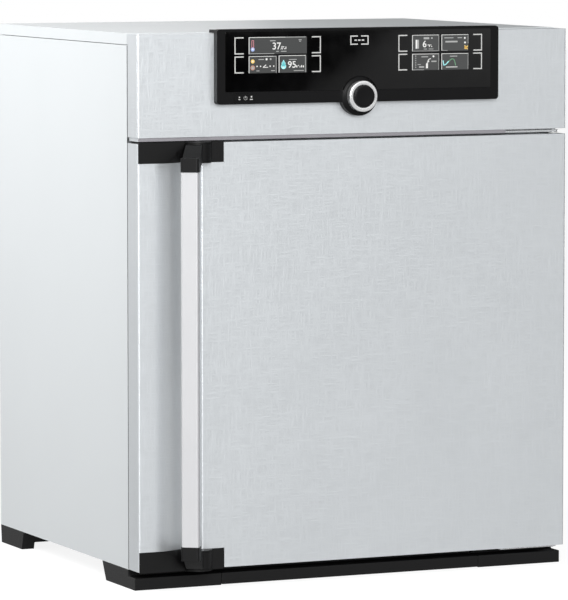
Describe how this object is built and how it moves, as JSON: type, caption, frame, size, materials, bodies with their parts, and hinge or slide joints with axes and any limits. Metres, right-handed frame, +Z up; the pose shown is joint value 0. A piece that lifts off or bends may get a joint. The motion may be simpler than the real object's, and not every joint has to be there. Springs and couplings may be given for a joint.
{
  "type": "carbon dioxide incubator",
  "caption": "Floor-or-bench incubator with a hinged steel outer door and lever handle, an inner glass door, sliding shelves and a dial panel.",
  "frame": {"origin": "middle of the footprint, on the surface the feet stand on", "axes": "+X to the right seen from the front, +Y towards the back, +Z up"},
  "size_m": [0.719, 0.6472, 0.8417],
  "materials": {
    "painted_steel": "satin",
    "galvanised_steel": "satin",
    "textured_stainless": "satin",
    "stainless": "satin",
    "mineral_wool": "matte",
    "silicone": "matte",
    "heater_foil": "matte",
    "black_abs": "satin",
    "black_glass": "gloss",
    "display": "gloss",
    "circuit_board": "satin",
    "motor_casing": "satin",
    "brass_parts": "satin",
    "clear_tube": "satin",
    "white_plastic": "satin",
    "chromed_steel": "gloss",
    "chromed_ring": "gloss",
    "brushed_bar": "satin",
    "clear_glass": "gloss",
    "aluminium_wheel": "satin"
  },
  "bodies": {
    "case": {"left_side_panel": "painted_steel", "right_side_panel": "painted_steel", "top_cover": "painted_steel", "rear_panel": "galvanised_steel", "base_pan": "galvanised_steel", "front_fascia": "textured_stainless", "front_frame": "stainless", "chamber_liner": "stainless", "shelf_runners": "stainless", "chamber_insulation": "mineral_wool", "chamber_gasket": "silicone", "chamber_heaters": "heater_foil", "service_deck": "galvanised_steel", "panel_bezel": "black_abs", "touch_panel": "black_glass", "display_modules": "display", "display_board": "circuit_board", "controller_board": "circuit_board", "power_supply": "galvanised_steel", "dial_encoder": "stainless", "fan_motor": "motor_casing", "fan_cover": "stainless", "chamber_sensors": "stainless", "gas_valve": "brass_parts", "gas_tube": "clear_tube", "gas_inlet": "brass_parts", "gas_filter": "white_plastic", "mains_inlet": "black_abs", "access_port": "white_plastic", "port_stoppers": "silicone", "rear_bumpers": "black_abs", "front_feet": "black_abs", "front_plinth": "black_abs", "rear_feet": "black_abs", "case_screws": "stainless", "top_hinge_plate": "chromed_steel", "bottom_hinge_plate": "chromed_steel", "latch_strike": "stainless", "glass_hinge_posts": "stainless"},
    "outer_door": {"door_skin": "textured_stainless", "door_inner_panel": "stainless", "door_insulation": "mineral_wool", "door_gasket": "silicone", "top_handle_bracket": "black_abs", "bottom_handle_bracket": "black_abs", "hinge_bushes": "white_plastic", "handle_pins": "stainless"},
    "handle": {"handle_bar": "brushed_bar", "top_handle_arm": "black_abs", "bottom_handle_arm": "black_abs"},
    "latch": {"latch_tongue": "stainless"},
    "glass_door": {"glass_pane": "clear_glass", "glass_fittings": "stainless"},
    "upper_shelf": {"upper_shelf": "stainless"},
    "lower_shelf": {"lower_shelf": "stainless"},
    "water_tray": {"water_tray": "stainless"},
    "dial": {"dial_ring": "chromed_ring"},
    "dial_cap": {"dial_cap": "black_abs"},
    "power_button": {"power_button": "black_abs"},
    "fan": {"fan_wheel": "aluminium_wheel"}
  },
  "joints": [
    {"name": "outer_door_hinge", "type": "hinge", "parent": "case", "child": "outer_door", "pos_m": [0.3515, -0.23942, 0], "axis": [0, 0, 1], "range_deg": [0, 110]},
    {"name": "glass_door_hinge", "type": "hinge", "parent": "case", "child": "glass_door", "pos_m": [0.302, -0.23242, 0], "axis": [0, 0, 1], "range_deg": [0, 99]},
    {"name": "handle_turn", "type": "hinge", "parent": "outer_door", "child": "handle", "pos_m": [-0.2615, -0.26442, 0], "axis": [0, 0, 1], "range_deg": [0, 40], "stiffness_Nm_per_rad": 1.5},
    {"name": "latch_slide", "type": "slide", "parent": "outer_door", "child": "latch", "axis": [1, 0, 0], "range_m": [0, 0.006]},
    {"name": "upper_shelf_slide", "type": "slide", "parent": "case", "child": "upper_shelf", "axis": [0, -1, 0], "range_m": [0, 0.015]},
    {"name": "lower_shelf_slide", "type": "slide", "parent": "case", "child": "lower_shelf", "axis": [0, -1, 0], "range_m": [0, 0.015]},
    {"name": "water_tray_slide", "type": "slide", "parent": "case", "child": "water_tray", "axis": [0, -1, 0], "range_m": [0, 0.015]},
    {"name": "dial_turn", "type": "hinge", "parent": "case", "child": "dial", "pos_m": [0, -0.28372, 0.7382], "axis": [0, -1, 0], "continuous": true},
    {"name": "dial_push", "type": "slide", "parent": "dial", "child": "dial_cap", "axis": [0, 1, 0], "range_m": [0, 0.0015], "stiffness_N_per_m": 800},
    {"name": "power_press", "type": "slide", "parent": "case", "child": "power_button", "axis": [0, 1, 0], "range_m": [0, 0.0008], "stiffness_N_per_m": 1000},
    {"name": "fan_spin", "type": "hinge", "parent": "case", "child": "fan", "pos_m": [0, -0.01142, 0.584], "axis": [0, 0, 1], "continuous": true}
  ],
  "couplings": [
    {"joint": "glass_door_hinge", "follows": "outer_door_hinge", "ratio": 0.9},
    {"joint": "latch_slide", "follows": "handle_turn", "m_per_rad": 0.00859}
  ]
}
